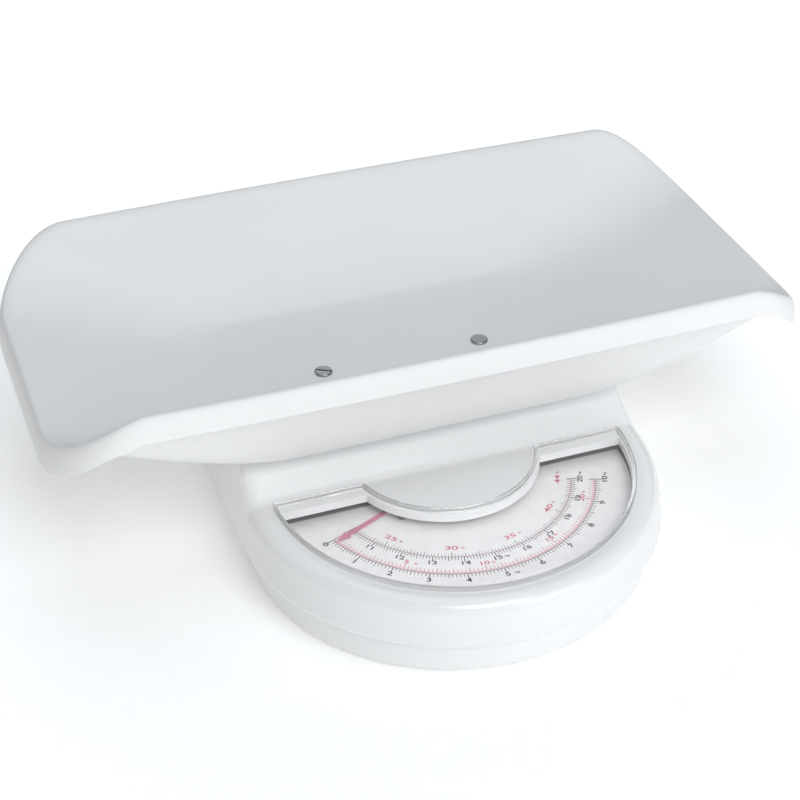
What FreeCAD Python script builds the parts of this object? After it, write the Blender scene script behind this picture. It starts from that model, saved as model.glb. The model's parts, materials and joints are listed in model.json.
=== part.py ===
"""Dial scale with a shallow tray for small animals: two-lever spring platform mechanism.

Millimetres, +Z up, the table at z = 0. +X runs along the tray, -Y is the dial side.
The origin is the bottom centre of the whole object's box.
"""
import FreeCAD
import Part
import math
import os

Vector = FreeCAD.Vector
os.makedirs("parts", exist_ok=True)

# Tray: half sizes are those of the rim's crest, in plan
TRAY_Y = 57.85
CREST_X = 265.5
CREST_Y = 123.0
CREST_BULGE = 4.5
CREST_CORNER = (43.0, 57.0)
CREST_Z = 174.3
END_DROP = 78.0
DROP_FROM = 213.0
DROP_LENGTH = 105.5
FLOOR_X = 134.0
FLOOR_Y = 80.4
FLOOR_SHIFT = -9.2
FLOOR_CORNER = (37.0, 37.0)
FLOOR_Z = 95.3
UNDER_Z = 88.3
TRAY_WALL = 3.0
WALL_POWER = 1.55
UNDER_CREST = (2.2, 2.6)
RIM_START = 0.93
RIM_TOP = 5.0
RIM_OUT = 10.8
RIM_DOWN = 17.7
RIM_END_MORE = 4.8
RIM_END_FROM = 232.0
RIM_ROUND = 2.2
RIM_THICK = 2.8
SIDE_POINTS = 10
END_POINTS = 6
CORNER_POINTS = 5
TRAY_SCREW_X = 60.5
TRAY_SCREW_Y = 46.85
TRAY_SCREW_R = 3.0
TRAY_SCREW_HEAD_R = 6.5
TRAY_SCREW_HEAD = 1.7
TRAY_SCREW_ROUND = 1.0
TRAY_SLOT_HALF = 0.8
TRAY_SLOT_DEG = (-28.0, 66.0)
TRAY_NUT_R = 5.7
TRAY_NUT = 4.2

# Housing: a horseshoe in plan, widest at the cover's skirt
HALF_WIDTH = 151.0
ROUND_Y = -47.05
BACK_Y = 152.85
BACK_CORNER = 42.0
SKIRT_BOTTOM_Z = 27.4
SKIRT_BOTTOM_INSET = 3.5
SKIRT_Z = 32.5
WALL_LEAN = 0.17
SHOULDER_R = 12.0
DECK_Z = 62.0
TOP_Z = 83.5
SLOPE_Y = -45.15
SLOPE_DEG = 40.0
SHELL = 2.5

# Base pan
FOOT_H = 2.5
PAN_FLOOR_Z = FOOT_H + SHELL
PAN_BOTTOM_INSET = 7.6
PAN_TOP_INSET = 5.1
LIP_INSET = 6.4
LIP_TOP_Z = 33.0

# Window: a thin lid over the dial's well. Each outline is a half ring with a straight back edge
OUTER_ARC_Y = -51.75
INNER_ARC_Y = -31.0
PANE_R = 129.5
PANE_BACK_Y = -50.0
PANE_INNER_R = 66.5
PANE_TOP_Z = 66.7
PANE_EDGE = 1.2
LID_TOP = 1.6
LID_WALL = 2.0
OPENING_R = 126.5
OPENING_BACK_Y = -59.5
OPENING_INNER_R = 70.8
WELL_BOTTOM_Z = 56.0
WELL_WALL = 1.6

# Dial and pointer
DIAL_Y = -44.35
DIAL_TOP_Z = 49.7
DIAL_PLATE = 1.0
DIAL_PLATE_R = 127.5
DIAL_BACK_Y = -20.0
DIAL_HOLE_R = 9.5
DIAL_POSTS = [(45.9, -76.8), (100.0, -35.0)]
DIAL_POST_R = 3.5
DIAL_POST_FOOT_R = 6.0
RIVET_R = 1.5
RIVET_HEAD_R = 2.6
RIVET_HEAD = 0.6
RIVET_DEPTH = 5.0
START_DEG = 21.8
SCALE_SWEEP_DEG = 136.4
POINTER_Z = 50.7
POINTER_THICK = 1.0
POINTER_REST_DEG = 2.2
LONG_ARM = 104.0
SHORT_ARM = 86.0
ARM_ROOT = 2.2
ARM_TIP = 1.3
ARROW = 9.0
ARROW_HALF = 3.2
HUB_R = 8.0
HUB_TOP_Z = 54.0
CAP_R = 5.0
COLLAR_R = 3.5

# Rack and pinion
MODULE = 0.6
PINION_TEETH = 18
PRESSURE_DEG = 20.0
BACKLASH = 0.10
MESH_GAP = 0.05
GEAR_Z = 43.0
GEAR_H = 2.0
SPINDLE_R = 1.5
SPINDLE_FOOT_Z = 36.0
RACK_BACK_X = 11.0
RACK_FRONT_Y = -77.0
TAB_HALF = 5.5
TAB_Z = (37.7, 49.5)
GUIDE_X = (7.2, 17.0)
GUIDE_HALF = 7.0
PITCH_R = MODULE * PINION_TEETH / 2
POINTER_SWEEP = math.radians(2 * SCALE_SWEEP_DEG)
RACK_TRAVEL = PITCH_R * POINTER_SWEEP

# Bridge that carries the spindle
BRIDGE_X = 30.0
BRIDGE_Y = 12.0
BRIDGE_Z = 37.0
BRIDGE_THICK = 3.0
BRIDGE_LEG = 4.0
BRIDGE_FOOT = 12.0
FOOT_THICK = 2.0
BUSH_R = 3.5

# Levers: the platform sinks 4 mm at the full 20 kg
POST_X = 108.0
POST_DY = 42.0
LEVER_ARM = 36.0
FULCRUM_FRONT_Y = TRAY_Y - POST_DY - LEVER_ARM
FULCRUM_BACK_Y = TRAY_Y + POST_DY + LEVER_ARM
POST_R = 5.0
LONG_LEVER_Z = 22.2
SHORT_LEVER_Z = 30.5
LEVER_H = 6.0
LEVER_W = 6.0
KNIFE = 2.0
GAP = 0.3
NOSE_Y = 126.0
JOIN_Y = 66.0
TONGUE_HALF = 5.0

# Bell crank
CRANK_Y = 81.0
CRANK_Z = 14.0
CRANK_X = 12.5
CRANK_THICK = 2.0
CRANK_W = 4.6
CRANK_UP = 31.0
CRANK_BACK = 15.4
CRANK_HALF_DEG = 24.5
PIN_R = 1.5
SLOT_HALF = 1.75
EAR_THICK = 2.2
EAR_HALF = 4.0

# Main spring and zero adjuster
SPRING_Y = 121.5
SPRING_R = 7.5
WIRE_R = 1.0
SPRING_TURNS = 9
SPRING_BOTTOM_Z = 32.5
SPRING_TOP_Z = 58.5
BRACKET_X = 20.5
BRACKET_TOP_Z = 68.5
BRACKET_HALF_Y = 9.0
BRACKET_THICK = 2.5
BRACKET_FOOT = 6.0
PLUG_R = 4.0
WHEEL_R = 28.0
WHEEL_H = 5.5
WHEEL_NOTCHES = 40
SCREW_R = 3.0
SCREW_TOP_Z = 77.5

# Platform plate
PLATE_X = 118.0
PLATE_DY = 68.0
PLATE_TOP_Z = 92.3
PLATE_THICK = 4.0
PLATE_CORNER = 24.0
PLATE_Y = TRAY_Y + FLOOR_SHIFT
PLATE_ROOM = 1.0

FEET = [(85.0, -130.0), (100.0, 122.0)]
FOOT_R = 11.0
BOSSES = [(131.0, -30.0), (80.0, 136.0)]
BOSS_R = 4.5


def save(name, shape):
    shape.exportStep("parts/%s.step" % name)


def join(shapes):
    return shapes[0].multiFuse(shapes[1:]).removeSplitter()


def box(x0, x1, y0, y1, z0, z1):
    return Part.makeBox(x1 - x0, y1 - y0, z1 - z0, Vector(x0, y0, z0))


def rod(radius, x, y, z0, z1):
    return Part.makeCylinder(radius, z1 - z0, Vector(x, y, z0))


def rod_x(radius, x0, x1, y, z):
    return Part.makeCylinder(radius, x1 - x0, Vector(x0, y, z), Vector(1, 0, 0))


def prism(points, z0, z1):
    """Upright prism on a closed outline of (x, y) points."""
    corners = [Vector(x, y, z0) for x, y in points]
    face = Part.Face(Part.makePolygon(corners + corners[:1]))
    return face.extrude(Vector(0, 0, z1 - z0))


def bar(start, end, width, z0, z1):
    """Flat bar between two (x, y) points, with round ends."""
    dx = end[0] - start[0]
    dy = end[1] - start[1]
    length = math.hypot(dx, dy)
    nx = -dy / length * width / 2
    ny = dx / length * width / 2
    sides = [(start[0] + nx, start[1] + ny), (end[0] + nx, end[1] + ny),
             (end[0] - nx, end[1] - ny), (start[0] - nx, start[1] - ny)]
    ends = [rod(width / 2, p[0], p[1], z0, z1) for p in (start, end)]
    return join([prism(sides, z0, z1)] + ends)


def polar(radius, degrees, centre=(0.0, 0.0)):
    angle = math.radians(degrees)
    return (centre[0] + radius * math.cos(angle), centre[1] + radius * math.sin(angle))


def both_sides(points):
    return [(side * x, y) for x, y in points for side in (-1, 1)]


# ---------------------------------------------------------------- tray

def quarter_loop(half_x, half_y, corner):
    """First quarter of a rounded rectangle, from the +X axis to the +Y axis."""
    long, wide = corner
    points = [(half_x, (half_y - wide) * i / END_POINTS) for i in range(END_POINTS)]
    for i in range(CORNER_POINTS + 1):
        angle = math.pi / 2 * i / CORNER_POINTS
        points.append((half_x - long + long * math.cos(angle),
                       half_y - wide + wide * math.sin(angle)))
    for i in range(1, SIDE_POINTS + 1):
        points.append(((half_x - long) * (1 - i / SIDE_POINTS), half_y))
    return points


def loop(half_x, half_y, corner):
    """The whole rounded rectangle, counter-clockwise, with no point twice."""
    quarter = quarter_loop(half_x, half_y, corner)
    mirrored = [(-x, y) for x, y in reversed(quarter[:-1])]
    upper = quarter + mirrored
    return upper + [(-x, -y) for x, y in upper[1:-1]]


def smooth_step(value, start, length):
    t = min(max((abs(value) - start) / length, 0.0), 1.0)
    return t * t * (3 - 2 * t)


def crest_points():
    """The rim's crest: long sides bow out, and both ends drop."""
    points = []
    for x, y in loop(CREST_X, CREST_Y, CREST_CORNER):
        bow = CREST_BULGE * (1 - (x / CREST_X) ** 2)
        z = CREST_Z - END_DROP * smooth_step(x, DROP_FROM, DROP_LENGTH)
        points.append(Vector(x, y + math.copysign(bow, y) if abs(y) > 1e-9 else y, z))
    return points


def floor_edge(more, z):
    """Edge of the tray's flat floor, moved out by more."""
    corner = tuple(c + more for c in FLOOR_CORNER)
    return [Vector(x, y + FLOOR_SHIFT, z) for x, y in loop(FLOOR_X + more, FLOOR_Y + more, corner)]


def rim_ring(out, down, share=0.0):
    """Crest ring moved outward in plan and down; share of the ends' deeper lip."""
    crest = crest_points()
    count = len(crest)
    moved = []
    for i, point in enumerate(crest):
        along = crest[(i + 1) % count] - crest[i - 1]
        normal = Vector(along.y, -along.x, 0)
        normal.normalize()
        more = RIM_END_MORE * smooth_step(point.x, RIM_END_FROM, CREST_X - RIM_END_FROM)
        moved.append(point + normal * out - Vector(0, 0, down + more * share))
    return moved


def between(low_ring, high_ring, share):
    """Ring of a flared wall: share is 0 at the low ring and 1 at the high one."""
    ring = []
    for low, high in zip(low_ring, high_ring):
        point = low + (high - low) * share
        point.z = low.z + (high.z - low.z) * share ** WALL_POWER
        ring.append(point)
    return ring


def wall_ring(share):
    return between(floor_edge(0, FLOOR_Z), crest_points(), share)


def under_ring(share):
    return between(floor_edge(TRAY_WALL, UNDER_Z), rim_ring(*UNDER_CREST), share)


def crest_roll(t):
    """Inner edge of the rim: from the wall at t = 0 over onto the rim's top at t = 1."""
    ring = []
    rows = zip(wall_ring(RIM_START), wall_ring(RIM_START - 0.01), rim_ring(RIM_TOP, 0))
    for start, below, top in rows:
        rise = start - below
        middle = start + rise * ((top.z - start.z) / rise.z)
        ring.append(start * (1 - t) ** 2 + middle * (2 * t * (1 - t)) + top * (t * t))
    return ring


def rim_curve(degrees):
    """Ring on the rim's outside, from its top at 0 to the lip's edge at 90."""
    angle = math.radians(degrees)
    out = RIM_TOP + (RIM_OUT - RIM_TOP) * math.sin(angle) ** (2 / RIM_ROUND)
    fall = 1 - max(math.cos(angle), 0.0) ** (2 / RIM_ROUND)
    return rim_ring(out, RIM_DOWN * fall, fall)


def closed_wire(points):
    curve = Part.BSplineCurve()
    curve.interpolate(Points=points, PeriodicFlag=True)
    return Part.Wire([curve.toShape()])


def tray():
    """One shell: floor, flared wall, rolled rim with a hanging lip, pocket for the plate."""
    lip = RIM_OUT - RIM_THICK
    rings = [under_ring(s) for s in (0.0, 0.12, 0.3, 0.5, 0.7, 0.85, 0.96)]
    rings += [rim_ring(o, d) for o, d in ((2.2, 4.6), (3.6, 3.3), (5.4, 3.1), (7.0, 4.6))]
    rings += [rim_ring(lip - 0.2, 8.0, 0.3), rim_ring(lip, RIM_DOWN, 1.0)]
    rings += [rim_curve(a) for a in (90, 78, 64, 50, 36, 20, 0)]
    rings += [crest_roll(t) for t in (0.75, 0.5, 0.25, 0.0)]
    rings += [wall_ring(s) for s in (0.85, 0.7, 0.5, 0.35, 0.2, 0.1, 0.0)]
    shell = Part.makeLoft([closed_wire(r) for r in rings], True, True)
    shell.translate(Vector(0, TRAY_Y, 0))
    holes = [rod(TRAY_SCREW_R, x, y, PLATE_TOP_Z - 1, FLOOR_Z + 1)
             for x, y in both_sides([(TRAY_SCREW_X, TRAY_SCREW_Y)])]
    return shell.cut(Part.makeCompound(holes + [plate_block(PLATE_ROOM, UNDER_Z - 1)]))


def tray_screws():
    """Low slotted heads on the tray's floor, shanks down through plate and nut."""
    screws = []
    top = FLOOR_Z + TRAY_SCREW_HEAD
    reach = TRAY_SCREW_HEAD_R + 1
    foot = PLATE_TOP_Z - PLATE_THICK - TRAY_NUT - 0.3
    places = both_sides([(TRAY_SCREW_X, TRAY_SCREW_Y)])
    for (x, y), degrees in zip(places, TRAY_SLOT_DEG):
        head = rod(TRAY_SCREW_HEAD_R, x, y, FLOOR_Z, top)
        edges = [e for e in head.Edges if e.BoundBox.ZMin > top - 0.1]
        head = head.makeFillet(TRAY_SCREW_ROUND, edges)
        slot = box(x - reach, x + reach, y - TRAY_SLOT_HALF, y + TRAY_SLOT_HALF,
                   FLOOR_Z + TRAY_SCREW_HEAD / 2, top + 1)
        slot.rotate(Vector(x, y, 0), Vector(0, 0, 1), degrees)
        screws.append(join([head.cut(slot), rod(TRAY_SCREW_R, x, y, foot, FLOOR_Z)]))
    return Part.makeCompound(screws)


def tray_nuts():
    nuts = []
    top = PLATE_TOP_Z - PLATE_THICK
    for x, y in both_sides([(TRAY_SCREW_X, TRAY_SCREW_Y)]):
        corners = [polar(TRAY_NUT_R, 60 * i, (x, y)) for i in range(6)]
        hexagon = prism(corners, top - TRAY_NUT, top)
        nuts.append(hexagon.cut(rod(TRAY_SCREW_R, x, y, top - TRAY_NUT - 1, top + 1)))
    return Part.makeCompound(nuts)


# ------------------------------------------------------------- platform

def post_places():
    return both_sides([(POST_X, TRAY_Y - POST_DY), (POST_X, TRAY_Y + POST_DY)])


def plate_block(room, bottom):
    """Outline of the platform plate, widened by room, from bottom up to its top."""
    plate = box(-PLATE_X - room, PLATE_X + room, PLATE_Y - PLATE_DY - room,
                PLATE_Y + PLATE_DY + room, bottom, PLATE_TOP_Z)
    upright = [e for e in plate.Edges if e.BoundBox.ZLength > PLATE_THICK - 0.1]
    return plate.makeFillet(PLATE_CORNER + room, upright)


def platform_plate():
    plate = plate_block(0, PLATE_TOP_Z - PLATE_THICK)
    holes = [rod(TRAY_SCREW_R, x, y, PLATE_TOP_Z - 9, PLATE_TOP_Z + 1)
             for x, y in both_sides([(TRAY_SCREW_X, TRAY_SCREW_Y)])]
    return plate.cut(Part.makeCompound(holes))


def platform_posts():
    """Front posts load the long lever, back posts the short lever."""
    posts = []
    for x, y in post_places():
        lever_z = LONG_LEVER_Z if y < TRAY_Y else SHORT_LEVER_Z
        foot = lever_z + LEVER_H + KNIFE + GAP
        posts.append(rod(POST_R, x, y, foot, PLATE_TOP_Z - PLATE_THICK))
    return Part.makeCompound(posts)


# -------------------------------------------------------------- housing

def horseshoe(inset, z):
    """Housing outline in plan, moved in from the widest skirt."""
    half = HALF_WIDTH - inset
    back = BACK_Y - inset
    corner = BACK_CORNER - inset
    diagonal = corner * math.sqrt(0.5)
    left = Vector(-half, ROUND_Y, z)
    right = Vector(half, ROUND_Y, z)
    edges = [Part.Arc(left, Vector(0, ROUND_Y - half, z), right).toShape()]
    edges.append(Part.makeLine(right, Vector(half, back - corner, z)))
    edges.append(Part.Arc(Vector(half, back - corner, z),
                          Vector(half - corner + diagonal, back - corner + diagonal, z),
                          Vector(half - corner, back, z)).toShape())
    edges.append(Part.makeLine(Vector(half - corner, back, z), Vector(corner - half, back, z)))
    edges.append(Part.Arc(Vector(corner - half, back, z),
                          Vector(corner - half - diagonal, back - corner + diagonal, z),
                          Vector(-half, back - corner, z)).toShape())
    edges.append(Part.makeLine(Vector(-half, back - corner, z), left))
    return Part.Wire(edges)


def stack(levels):
    """Solid through horseshoe outlines at (inset, z) levels."""
    return Part.makeLoft([horseshoe(inset, z) for inset, z in levels], True, True)


def flat_topped(inset, top):
    """Housing block with a flat top and a rounded shoulder."""
    lean = WALL_LEAN * (top - SKIRT_Z)
    block = join([stack([(SKIRT_BOTTOM_INSET + inset, SKIRT_BOTTOM_Z), (inset, SKIRT_Z)]),
                  stack([(inset, SKIRT_Z), (lean + inset, top)])])
    edges = [e for e in block.Edges if e.BoundBox.ZMin > top - 0.01]
    return block.makeFillet(SHOULDER_R - inset, edges)


def housing_block(inset):
    """Low deck in front, slope up, high top behind."""
    drop = inset / math.cos(math.radians(SLOPE_DEG))
    low = flat_topped(inset, DECK_Z - inset)
    high = flat_topped(inset, TOP_Z - inset)
    rise = TOP_Z + 20 - DECK_Z
    run = rise / math.tan(math.radians(SLOPE_DEG))
    start = SLOPE_Y + (drop - inset) / math.tan(math.radians(SLOPE_DEG))
    deck = DECK_Z - inset
    profile = [Vector(-200, start, 0), Vector(-200, start, deck),
               Vector(-200, start + run, deck + rise), Vector(-200, 300, deck + rise),
               Vector(-200, 300, 0)]
    behind = Part.Face(Part.makePolygon(profile + profile[:1])).extrude(Vector(400, 0, 0))
    return low.fuse(high.common(behind)).removeSplitter()


def half_ring(outer, back_y, inner, z0, z1):
    """Half ring in front of a straight back edge, with a round island cut out."""
    disc = rod(outer, 0, OUTER_ARC_Y, z0, z1)
    front = box(-outer - 1, outer + 1, OUTER_ARC_Y - outer - 1, back_y, z0, z1)
    island = rod(inner, 0, INNER_ARC_Y, z0 - 1, z1 + 1)
    return disc.common(front).cut(island)


def opening(grow, z0, z1):
    return half_ring(OPENING_R + grow, OPENING_BACK_Y + grow, OPENING_INNER_R - grow, z0, z1)


def screw_bosses():
    """Columns from the roof of the cover down to the pan's floor."""
    places = both_sides(BOSSES)
    upper = Part.makeCompound([rod(BOSS_R, x, y, SKIRT_Z, TOP_Z) for x, y in places])
    lower = [rod(BOSS_R, x, y, PAN_FLOOR_Z, SKIRT_Z + 1) for x, y in places]
    return [upper.common(housing_block(SHELL / 2))] + lower


def housing_cover():
    hollow = housing_block(SHELL)
    floor_cut = stack([(SKIRT_BOTTOM_INSET + SHELL, SKIRT_BOTTOM_Z - 1),
                       (SKIRT_BOTTOM_INSET + SHELL, SKIRT_BOTTOM_Z)])
    shell = housing_block(0.0).cut(hollow).cut(floor_cut)
    well = opening(WELL_WALL, WELL_BOTTOM_Z, DECK_Z - SHELL + 0.5)
    cover = shell.multiFuse([well] + screw_bosses())
    cuts = [opening(0.0, WELL_BOTTOM_Z - 1, DECK_Z + 5)]
    cuts += [rod(POST_R + 2, x, y, TOP_Z - 5, TOP_Z + 1) for x, y in post_places()]
    cuts += [rod(10.0, x, y, TOP_Z - 5, TOP_Z + 1)
             for x, y in both_sides([(TRAY_SCREW_X, TRAY_SCREW_Y)])]
    cuts += [rod(1.6, x, y, PAN_FLOOR_Z - 1, PAN_FLOOR_Z + 14) for x, y in both_sides(BOSSES)]
    cuts.append(box(-24, 24, SPRING_Y + 10, BACK_Y + 5, BRACKET_TOP_Z - 0.7,
                    BRACKET_TOP_Z + WHEEL_H + 1.3))
    return cover.cut(Part.makeCompound(cuts))


def window():
    """Moulded lid: a flat top with a low wall all round that stands on the deck."""
    pane = half_ring(PANE_R, PANE_BACK_Y, PANE_INNER_R, DECK_Z, PANE_TOP_Z)
    top_edges = [e for e in pane.Edges if e.BoundBox.ZMin > PANE_TOP_Z - 0.01]
    hollow = half_ring(PANE_R - LID_WALL, PANE_BACK_Y - LID_WALL, PANE_INNER_R + LID_WALL,
                       DECK_Z - 1, PANE_TOP_Z - LID_TOP)
    return pane.makeChamfer(PANE_EDGE, top_edges).cut(hollow)


def base_pan():
    outer = stack([(PAN_BOTTOM_INSET, FOOT_H), (PAN_TOP_INSET, SKIRT_BOTTOM_Z)])
    lip = stack([(LIP_INSET, SKIRT_BOTTOM_Z - 1), (LIP_INSET, LIP_TOP_Z)])
    hollow = stack([(PAN_BOTTOM_INSET + SHELL, PAN_FLOOR_Z), (LIP_INSET + 2, SKIRT_BOTTOM_Z)])
    neck = stack([(LIP_INSET + 2, SKIRT_BOTTOM_Z), (LIP_INSET + 2, LIP_TOP_Z + 1)])
    pan = outer.fuse(lip).cut(hollow).cut(neck)
    cuts = [rod(FOOT_R / 2, x, y, 0, PAN_FLOOR_Z + 1) for x, y in both_sides(FEET)]
    cuts += [rod(2.0, x, y, 0, PAN_FLOOR_Z + 1) for x, y in both_sides(BOSSES)]
    return pan.cut(Part.makeCompound(cuts))


def rubber_feet():
    feet = []
    for x, y in both_sides(FEET):
        feet.append(join([rod(FOOT_R, x, y, 0, FOOT_H),
                          rod(FOOT_R / 2, x, y, FOOT_H, PAN_FLOOR_Z + 1)]))
    return Part.makeCompound(feet)


def cover_screws():
    """From below: the heads hide between the pan and the table."""
    screws = []
    for x, y in both_sides(BOSSES):
        head = rod(3.6, x, y, FOOT_H - 1.8, FOOT_H)
        slot = box(x - 4, x + 4, y - 0.5, y + 0.5, FOOT_H - 2, FOOT_H - 0.9)
        screws.append(join([head.cut(slot), rod(1.6, x, y, FOOT_H, PAN_FLOOR_Z + 12)]))
    return Part.makeCompound(screws)


# ----------------------------------------------------------------- dial

def dial_plate():
    bottom = DIAL_TOP_Z - DIAL_PLATE
    disc = rod(DIAL_PLATE_R, 0, OUTER_ARC_Y, bottom, DIAL_TOP_Z)
    keep = box(-130, 130, -200, DIAL_BACK_Y, bottom, DIAL_TOP_Z)
    holes = [rod(DIAL_HOLE_R, 0, DIAL_Y, bottom - 1, DIAL_TOP_Z + 1)]
    holes += [rod(RIVET_R, x, y, bottom - 1, DIAL_TOP_Z + 1) for x, y in both_sides(DIAL_POSTS)]
    return disc.common(keep).cut(Part.makeCompound(holes))


def dial_posts():
    posts = []
    for x, y in both_sides(DIAL_POSTS):
        post = join([rod(DIAL_POST_R, x, y, PAN_FLOOR_Z, DIAL_TOP_Z - DIAL_PLATE),
                     rod(DIAL_POST_FOOT_R, x, y, PAN_FLOOR_Z, PAN_FLOOR_Z + FOOT_THICK)])
        posts.append(post.cut(rod(RIVET_R, x, y, DIAL_TOP_Z - RIVET_DEPTH - 1, DIAL_TOP_Z)))
    return Part.makeCompound(posts)


def dial_rivets():
    rivets = []
    for x, y in both_sides(DIAL_POSTS):
        rivets.append(join([rod(RIVET_HEAD_R, x, y, DIAL_TOP_Z, DIAL_TOP_Z + RIVET_HEAD),
                            rod(RIVET_R, x, y, DIAL_TOP_Z - RIVET_DEPTH, DIAL_TOP_Z)]))
    return Part.makeCompound(rivets)


def arm_outline(length, degrees):
    """Tapered arm with an arrowhead, pointing from the pivot at the given direction."""
    neck = length - ARROW
    local = [(0, -ARM_ROOT), (neck, -ARM_TIP), (neck, -ARROW_HALF), (length, 0),
             (neck, ARROW_HALF), (neck, ARM_TIP), (0, ARM_ROOT)]
    angle = math.radians(degrees)
    return [(x * math.cos(angle) - y * math.sin(angle),
             DIAL_Y + x * math.sin(angle) + y * math.cos(angle)) for x, y in local]


def pointer():
    """Two arms, one for each scale; the second follows one scale's sweep behind."""
    top = POINTER_Z + POINTER_THICK
    first = 180 + START_DEG + POINTER_REST_DEG
    arms = [prism(arm_outline(LONG_ARM, first), POINTER_Z, top),
            prism(arm_outline(SHORT_ARM, first - SCALE_SWEEP_DEG), POINTER_Z, top)]
    disc = rod(HUB_R, 0, DIAL_Y, POINTER_Z, top)
    return join(arms + [disc]).cut(rod(SPINDLE_R, 0, DIAL_Y, POINTER_Z - 1, top + 1))


def pointer_hub():
    """Blind cap that holds the pointer down on the spindle."""
    low = POINTER_Z + POINTER_THICK
    cap = rod(CAP_R, 0, DIAL_Y, low, HUB_TOP_Z)
    return cap.cut(rod(SPINDLE_R, 0, DIAL_Y, low - 1, HUB_TOP_Z - 1))


def spindle_collar():
    """Spacer between the pinion and the pointer."""
    collar = rod(COLLAR_R, 0, DIAL_Y, GEAR_Z + GEAR_H + 0.2, POINTER_Z)
    return collar.cut(rod(SPINDLE_R, 0, DIAL_Y, GEAR_Z, POINTER_Z + 1))


def spindle():
    return rod(SPINDLE_R, 0, DIAL_Y, SPINDLE_FOOT_Z, HUB_TOP_Z - 1)


# ------------------------------------------------------- rack and pinion

def involute(radians):
    return math.tan(radians) - radians


def pinion():
    """Involute teeth, with one tooth on the +X side at rest."""
    pressure = math.radians(PRESSURE_DEG)
    base = PITCH_R * math.cos(pressure)
    tip = PITCH_R + MODULE
    root = PITCH_R - 1.25 * MODULE
    half_tooth = (math.pi * MODULE / 2 - BACKLASH) / 2 / PITCH_R + involute(pressure)
    outline = []
    for i in range(PINION_TEETH):
        middle = 2 * math.pi * i / PINION_TEETH
        flank = [(root, half_tooth), (base, half_tooth)]
        for share in (0.4, 0.7, 1.0):
            radius = base + (tip - base) * share
            flank.append((radius, half_tooth - involute(math.acos(base / radius))))
        outline += [polar(r, math.degrees(middle - a), (0, DIAL_Y)) for r, a in flank]
        outline += [polar(r, math.degrees(middle + a), (0, DIAL_Y)) for r, a in reversed(flank)]
    body = prism(outline, GEAR_Z, GEAR_Z + GEAR_H)
    return body.cut(rod(SPINDLE_R, 0, DIAL_Y, GEAR_Z - 1, GEAR_Z + GEAR_H + 1))


def crank_point(arm, degrees):
    """(y, z) of a crank pin: degrees from the +Y direction, upward."""
    angle = math.radians(degrees)
    return CRANK_Y + arm * math.cos(angle), CRANK_Z + arm * math.sin(angle)


def rack():
    """Toothed rod beside the pinion; a slotted tab at its back takes the crank's upper pin."""
    pitch_x = PITCH_R + MESH_GAP
    root_x = pitch_x + 1.25 * MODULE
    tip_x = pitch_x - MODULE
    pin_y, pin_z = crank_point(CRANK_UP, 90 + CRANK_HALF_DEG)
    rod_body = box(root_x, RACK_BACK_X, RACK_FRONT_Y, pin_y, GEAR_Z, GEAR_Z + GEAR_H)
    slope = math.tan(math.radians(PRESSURE_DEG))
    half = (math.pi * MODULE / 2 - BACKLASH) / 2
    pitch = math.pi * MODULE
    teeth = []
    for i in range(-int((RACK_TRAVEL + 3) / pitch) - 1, 2):
        y = DIAL_Y + (i + 0.5) * pitch
        teeth.append(prism([(root_x + 0.2, y - half - slope * 1.25 * MODULE),
                            (tip_x, y - half + slope * MODULE),
                            (tip_x, y + half - slope * MODULE),
                            (root_x + 0.2, y + half + slope * 1.25 * MODULE)],
                           GEAR_Z, GEAR_Z + GEAR_H))
    tab = box(root_x, RACK_BACK_X, pin_y - TAB_HALF, pin_y + TAB_HALF, *TAB_Z)
    slot = box(0, RACK_BACK_X + 1, pin_y - SLOT_HALF, pin_y + SLOT_HALF,
               pin_z - PIN_R - 2 * GAP, CRANK_Z + CRANK_UP + PIN_R + 2 * GAP)
    return join([rod_body, tab] + teeth).cut(slot)


def movement_bridge():
    """Table over the pan that carries the spindle's bearing."""
    y0 = DIAL_Y - BRIDGE_Y
    y1 = DIAL_Y + BRIDGE_Y
    pieces = [box(-BRIDGE_X, BRIDGE_X, y0, y1, BRIDGE_Z, BRIDGE_Z + BRIDGE_THICK),
              box(-BRIDGE_X, BRIDGE_LEG - BRIDGE_X, y0, y1, PAN_FLOOR_Z, BRIDGE_Z),
              box(BRIDGE_X - BRIDGE_LEG, BRIDGE_X, y0, y1, PAN_FLOOR_Z, BRIDGE_Z),
              box(-BRIDGE_X - BRIDGE_FOOT, BRIDGE_LEG - BRIDGE_X, y0, y1,
                  PAN_FLOOR_Z, PAN_FLOOR_Z + FOOT_THICK),
              box(BRIDGE_X - BRIDGE_LEG, BRIDGE_X + BRIDGE_FOOT, y0, y1,
                  PAN_FLOOR_Z, PAN_FLOOR_Z + FOOT_THICK)]
    return join(pieces).cut(rod(BUSH_R, 0, DIAL_Y, BRIDGE_Z - 1, BRIDGE_Z + BRIDGE_THICK + 1))


def spindle_bush():
    """Stands 2 mm proud of the bridge on both faces."""
    low = BRIDGE_Z - 2
    high = BRIDGE_Z + BRIDGE_THICK + 2
    return rod(BUSH_R, 0, DIAL_Y, low, high).cut(
        rod(SPINDLE_R + 0.05, 0, DIAL_Y, low - 1, high + 1))


def rack_guide():
    """Shelf under the rack and a wall behind it."""
    y0 = DIAL_Y - GUIDE_HALF
    y1 = DIAL_Y + GUIDE_HALF
    shelf = box(*GUIDE_X, y0, y1, BRIDGE_Z + BRIDGE_THICK, GEAR_Z - GAP)
    wall = box(RACK_BACK_X + GAP, GUIDE_X[1], y0, y1, GEAR_Z - GAP, GEAR_Z + GEAR_H + 1)
    return join([shelf, wall])


# ---------------------------------------------------------------- levers

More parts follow.
